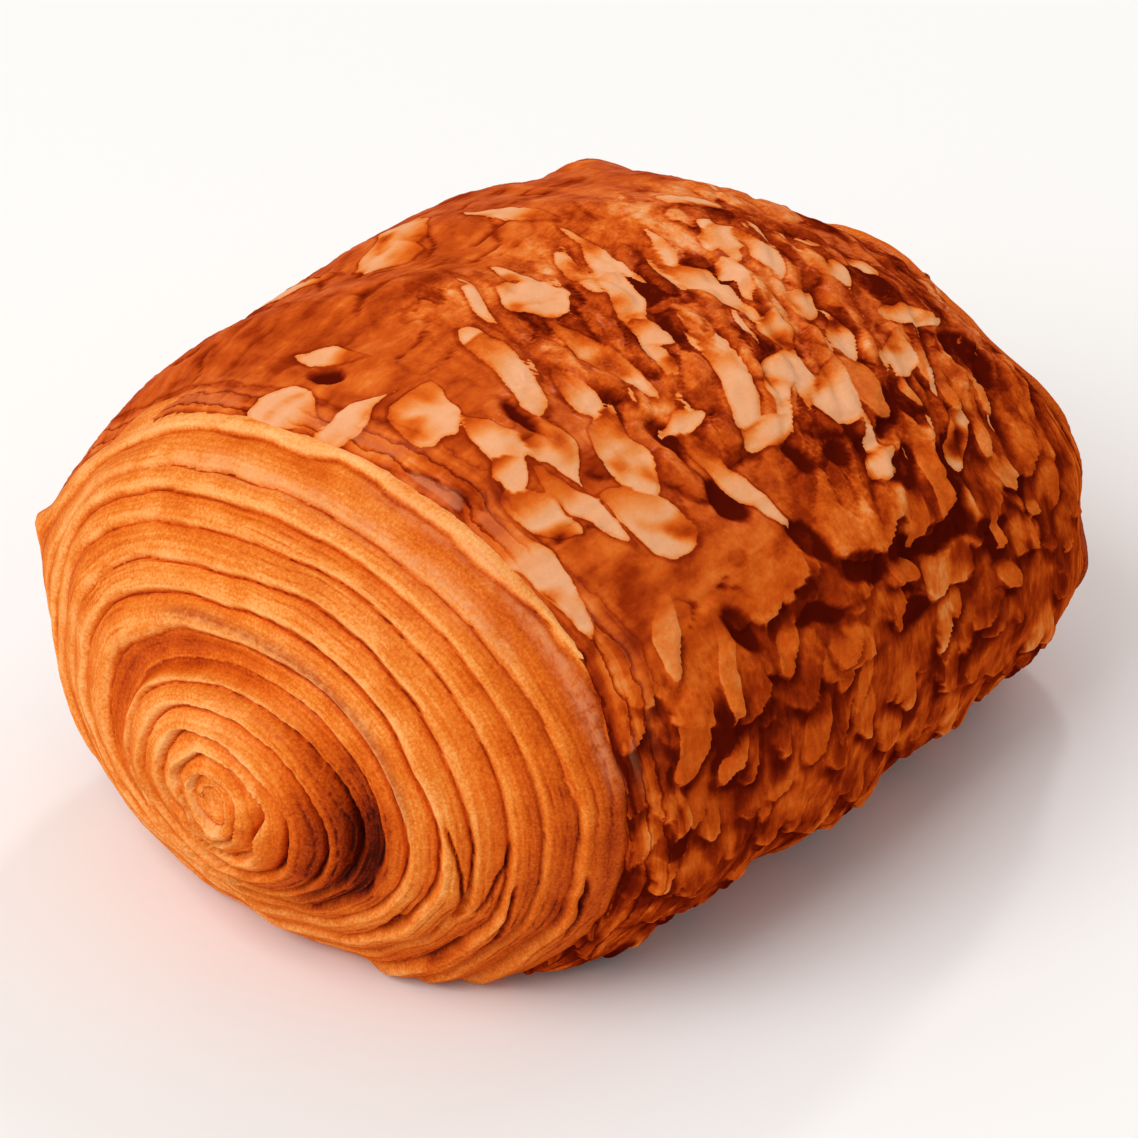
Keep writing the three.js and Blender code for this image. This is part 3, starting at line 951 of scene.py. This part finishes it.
class Nodes:
    """Short calls that add and join a material's nodes.

    A value can be a number, the output of another node, or the name of a grain or a look.
    """

    def __init__(self, name):
        self.material = bpy.data.materials.new(name)
        self.material.use_nodes = True
        self.tree = self.material.node_tree
        self.shader = self.tree.nodes["Principled BSDF"]
        self.grains = {}

    def feed(self, node, values):
        for socket, value in values.items():
            if isinstance(value, str):
                value = self.grains.get(value) or self.look(value)
            if isinstance(value, bpy.types.NodeSocket):
                self.tree.links.new(value, node.inputs[socket])
            else:
                node.inputs[socket].default_value = value

    def add(self, kind, values=None, **settings):
        node = self.tree.nodes.new(kind)
        for key, value in settings.items():
            setattr(node, key, value)
        self.feed(node, values or {})
        return node

    def look(self, name):
        return self.add("ShaderNodeAttribute", attribute_name=name).outputs["Fac"]

    def grain(self, size_mm, detail=3.0, roughness=0.55, stretch=(1, 1, 1)):
        """Noise whose lumps are about size_mm across."""
        here = self.add("ShaderNodeTexCoord").outputs["Object"]
        place = self.add("ShaderNodeMapping", {"Vector": here, "Scale": stretch}).outputs["Vector"]
        values = {"Vector": place, "Scale": 1 / (size_mm * MM), "Detail": detail}
        return self.add("ShaderNodeTexNoise", {**values, "Roughness": roughness}).outputs["Fac"]

    def lines(self, place, scale):
        """Noise drawn out into fine lines that run where a place's value stays the same."""
        across = self.product(self.grain(9.0, 1.0), 3 / scale)
        join = self.add("ShaderNodeCombineXYZ", {"X": place, "Y": across}).outputs["Vector"]
        values = {"Vector": join, "Scale": scale, "Detail": 3}
        return self.add("ShaderNodeTexNoise", values, noise_dimensions="2D").outputs["Fac"]

    def math(self, operation, first, second=0.0):
        return self.add("ShaderNodeMath", {0: first, 1: second}, operation=operation).outputs["Value"]

    def total(self, *values):
        return reduce(partial(self.math, "ADD"), values)

    def product(self, *values):
        return reduce(partial(self.math, "MULTIPLY"), values)

    def sway(self, value, amount, *others):
        """A noise value as a change about zero, at most half the amount each way."""
        return self.product(self.math("SUBTRACT", value, 0.5), amount, *others)

    def between(self, value, start, end, low=0.0, high=1.0):
        """Eases from low to high while value goes from start to end."""
        values = {"Value": value, "From Min": start, "From Max": end, "To Min": low, "To Max": high}
        node = self.add("ShaderNodeMapRange", values, interpolation_type="SMOOTHSTEP")
        return node.outputs["Result"]

    def mix(self, factor, first, second):
        """The second colour over the first, as far as the factor says."""
        values = {0: factor, 6: first, 7: second}
        return self.add("ShaderNodeMix", values, data_type="RGBA").outputs[2]

    def blend(self, factor, first, second):
        """The same with two numbers."""
        values = {0: factor, 2: first, 3: second}
        return self.add("ShaderNodeMix", values, data_type="FLOAT").outputs[0]

    def ramp(self, value, tones):
        node = self.add("ShaderNodeValToRGB", {"Fac": value})
        stops = node.color_ramp.elements
        for tone, _ in tones[1:-1]:
            stops.new(tone)
        for stop, (tone, colour) in zip(stops, tones):
            stop.position = tone
            stop.color = linear(*colour)
        return node.outputs["Color"]

    def bump(self, height, distance_mm, strength, below=None):
        values = {"Height": height, "Distance": distance_mm * MM, "Strength": strength}
        if below is not None:
            values["Normal"] = below
        return self.add("ShaderNodeBump", values).outputs["Normal"]


def finish_shader(nodes, colour, roughness, normal, coat, coat_roughness):
    values = {"Base Color": colour, "Roughness": roughness, "Normal": normal, "Coat Weight": coat}
    values |= {"Coat Roughness": coat_roughness, "Specular IOR Level": SPECULAR_LEVEL}
    nodes.feed(nodes.shader, values)
    return nodes.material


def end_material():
    """Cut layers of dough: bright bands, dark crevices, fine lines along each band."""
    nodes = Nodes("dough_layers")
    speckle = nodes.grain(0.3, 2, 0.65)
    pores = nodes.grain(0.8, 3, 0.6)
    patches = nodes.grain(5, 3)
    lines = nodes.lines("ring", 100)
    tone = nodes.total(
        "tone",
        nodes.sway(lines, 0.26),
        nodes.sway(speckle, 0.44),
        nodes.sway(pores, 0.14),
        nodes.sway(patches, 0.2),
    )
    colour = nodes.ramp(tone, LAYER_TONES)
    mauve = nodes.product("mauve", nodes.between(pores, 0.35, 0.65, 0.7, 0.35))
    colour = nodes.mix(mauve, colour, linear(*MAUVE))
    blush = nodes.product("blush", nodes.between(pores, 0.3, 0.6, 0.1, 0.6))
    colour = nodes.mix(blush, colour, linear(*BLUSH))
    normal = nodes.bump(lines, 0.12, 0.4)
    normal = nodes.bump(pores, 0.08, 0.3, normal)
    normal = nodes.bump(speckle, 0.06, 0.4, normal)
    roughness = nodes.between(speckle, 0.3, 0.7, 0.45, 0.6)
    return finish_shader(nodes, colour, roughness, normal, 0.06, 0.25)


def crust_tone(nodes):
    """How browned the crust is, with its grain and the lines near its rims, and with painted shade in
    its crevices and a painted highlight on its raised places.
    """
    calm = nodes.math("SUBTRACT", nodes.math("SUBTRACT", 1, "mottled"), "leafy")
    outline = nodes.total("within", nodes.product("ragged", 0.12))
    cavity_shading = nodes.total("cavity_shading", nodes.product("ragged", 0.15))
    rim = nodes.between("edge", 2, 7, 1, 0)
    band = nodes.total(nodes.product("edge", 0.6), nodes.sway("blotches", 1.6))
    band = nodes.math("FRACT", band)
    return nodes.total(
        "tone",
        nodes.sway("lumps", 0.42, "mottled"),
        nodes.sway("lumps", 0.12),
        nodes.sway("fine", 0.26, "mottled"),
        nodes.sway("fine", 0.1),
        nodes.sway("blotches", 0.5),
        nodes.sway("streaks", 0.3, calm),
        nodes.sway("hanging", 0.38, "leafy"),
        nodes.product(nodes.between(outline, 0.02, 0.13, -0.4, 0), "border"),
        # Painted shade in recesses and a painted highlight on raised places.
        nodes.between(cavity_shading, 0.05, 0.5, 0, -0.25),
        nodes.between(cavity_shading, -0.4, -0.1, 0.1, 0),
        nodes.product(nodes.between(band, 0, 0.3, -0.3, 0), rim),
        nodes.sway(nodes.lines("edge", 1), 0.6, rim),
    )


def with_tan_flakes(nodes, tone):
    tan = nodes.total("tan", nodes.product("ragged", 0.25))
    tan_tone = nodes.total(
        "tan_tone",
        # Painted highlight: a thin lighter line along each tan flake's edge.
        nodes.between(tan, 0, 0.4, 0.03, 0),
        nodes.sway("fine", 0.16),
        nodes.sway("hanging", 0.2),
        nodes.sway("blotches", 0.4),
    )
    cover = nodes.product(nodes.between(tan, -0.04, 0.08), "tan_cover")
    return nodes.blend(cover, tone, tan_tone)


# Painted reflection: the sheen of the egg wash is painted in as pale tone.
def with_painted_sheen(nodes, tone, pale):
    pale_tone = nodes.total(
        nodes.between(pale, 0, 0.35, 0.76, 0.9),
        nodes.sway("fine", 0.1),
        nodes.sway("blotches", 0.18),
    )
    cover = nodes.product(nodes.between(pale, -0.02, 0.05), "glaze")
    return nodes.blend(cover, tone, pale_tone)


def crust_material():
    """Egg-washed crust: orange-brown, with pale flakes of painted sheen, tan flakes, dark pits of
    painted shade and mottled browning.
    """
    nodes = Nodes("baked_crust")
    nodes.grains = dict(
        fine=nodes.grain(0.4, 3, 0.65),
        lumps=nodes.grain(1.5, 4, 0.6),
        blotches=nodes.grain(4, 4, 0.6),
        streaks=nodes.grain(1.8, 3, 0.6, (0.25, 1, 1)),
        hanging=nodes.grain(0.6, 3, 0.6, (1, 1, 0.2)),
        ragged=nodes.sway(nodes.grain(1, 5, 0.7), 1),
    )
    pale = nodes.total("pale", nodes.product("ragged", 0.35))
    # Painted shadow: a darker rim just outside each flake with painted sheen.
    tone = nodes.total(crust_tone(nodes), nodes.between(pale, -0.45, -0.05, 0, -0.14))
    tone = with_tan_flakes(nodes, tone)
    colour = nodes.ramp(with_painted_sheen(nodes, tone, pale), CRUST_TONES)
    strips = nodes.lines("edge", 0.5)
    blush = nodes.product("blush", nodes.between(strips, 0.46, 0.6, 0, 0.55))
    colour = nodes.mix(blush, colour, linear(*BLUSH))
    normal = nodes.bump("lumps", 0.22, 0.4)
    normal = nodes.bump("fine", 0.1, 0.4, normal)
    roughness = nodes.between("fine", 0.3, 0.7, 0.4, 0.6)
    coat = nodes.between(nodes.math("SUBTRACT", tone, "leafy"), 0.3, 0.6, 0, 0.08)
    return finish_shader(nodes, colour, roughness, normal, coat, 0.2)


# ---- floor, light and camera

FLOOR_SIZE = 3.0
FLOOR_DROP = 0.0002

# Softboxes that face the roll: place and size in metres, and power.
SOFTBOXES = {
    "key": ((-0.65, 0.1, 0.75), (0.7, 0.7), 6.2),
    "sheen": ((0.65, 0.0, 0.55), (0.5, 0.5), 1.0),
    "glint": ((0.62, 0.28, 0.72), (0.09, 0.09), 1.1),
}
STUDIO_COLOUR = (1.0, 0.99, 0.97, 1.0)
STUDIO_STRENGTH = 0.48

# The camera, from the photograph's outline of the roll: direction, distance, focal length for
# a 36 mm wide sensor, and the point it looks at, as moves right and up from mid-height.
VIEW_AZIMUTH = 50.46
VIEW_ELEVATION = 34.18
VIEW_DISTANCE = 624.8
FOCAL_LENGTH = 201.6
SENSOR_WIDTH = 36.0
AIM_HEIGHT = 0.42 * HEIGHT
AIM_RIGHT = -0.36
AIM_UP = -1.3


def make_floor():
    half = FLOOR_SIZE / 2
    mesh = bpy.data.meshes.new("floor")
    corners = [(-half, -half), (half, -half), (half, half), (-half, half)]
    mesh.from_pydata([(x, y, -FLOOR_DROP) for x, y in corners], [], [(0, 1, 2, 3)])
    nodes = Nodes("pale_floor")
    nodes.feed(nodes.shader, {"Base Color": linear(*FLOOR_COLOUR), "Roughness": 0.9})
    mesh.materials.append(nodes.material)
    floor = bpy.data.objects.new("floor", mesh)
    bpy.context.scene.collection.objects.link(floor)


def add_softbox(name, place, size, power):
    data = bpy.data.lights.new(name, "AREA")
    data.shape = "RECTANGLE"
    data.size, data.size_y = size
    data.energy = power
    light = bpy.data.objects.new(name, data)
    light.location = place
    towards_roll = Vector((0, 0, AIM_HEIGHT * MM)) - Vector(place)
    light.rotation_euler = towards_roll.to_track_quat("-Z", "Y").to_euler()
    bpy.context.scene.collection.objects.link(light)


def add_lights():
    for name, (place, size, power) in SOFTBOXES.items():
        add_softbox(name, place, size, power)
    world = bpy.data.worlds.new("studio")
    world.use_nodes = True
    background = world.node_tree.nodes["Background"]
    background.inputs["Color"].default_value = STUDIO_COLOUR
    background.inputs["Strength"].default_value = STUDIO_STRENGTH
    bpy.context.scene.world = world
    bpy.context.scene.view_settings.view_transform = "Standard"


def add_camera():
    azimuth, elevation = math.radians(VIEW_AZIMUTH), math.radians(VIEW_ELEVATION)
    level = -math.cos(elevation)
    back = Vector((level * math.sin(azimuth), level * math.cos(azimuth), math.sin(elevation)))
    turn = back.to_track_quat("Z", "Y")
    aim = Vector((0, 0, AIM_HEIGHT)) + turn @ Vector((AIM_RIGHT, AIM_UP, 0))
    data = bpy.data.cameras.new("camera")
    data.lens = FOCAL_LENGTH
    data.sensor_width = SENSOR_WIDTH
    data.clip_start, data.clip_end = 0.01, 10
    camera = bpy.data.objects.new("camera", data)
    camera.location = (aim + back * VIEW_DISTANCE) * MM
    camera.rotation_euler = turn.to_euler()
    bpy.context.scene.collection.objects.link(camera)
    bpy.context.scene.camera = camera


# ---- the scene


def make_pastry():
    near_x = -reach_at(NEAR, NEAR.rim) * LENGTH / 2
    far_x = reach_at(FAR, FAR.rim) * LENGTH / 2
    near = end_geometry(NEAR, near_x + TUCK)
    far = end_geometry(FAR, far_x - TUCK)
    crust = crust_geometry(near_x, far_x)
    everything = np.vstack([near[0], far[0], crust[0]])
    low, high = everything.min(axis=0), everything.max(axis=0)
    scale = (HIGH - LOW) / (high - low)

    def fit(points):
        """Relief moves the outermost points, so every piece is brought to the CAD box."""
        return (points - low) * scale + LOW

    layers = end_material()
    make_mesh("spiral_end", fit, near, layers)
    make_mesh("far_end", fit, far, layers)
    body = make_mesh("crust", fit, crust, crust_material())
    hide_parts(CAD_NODE)


make_pastry()
make_floor()
add_lights()
add_camera()
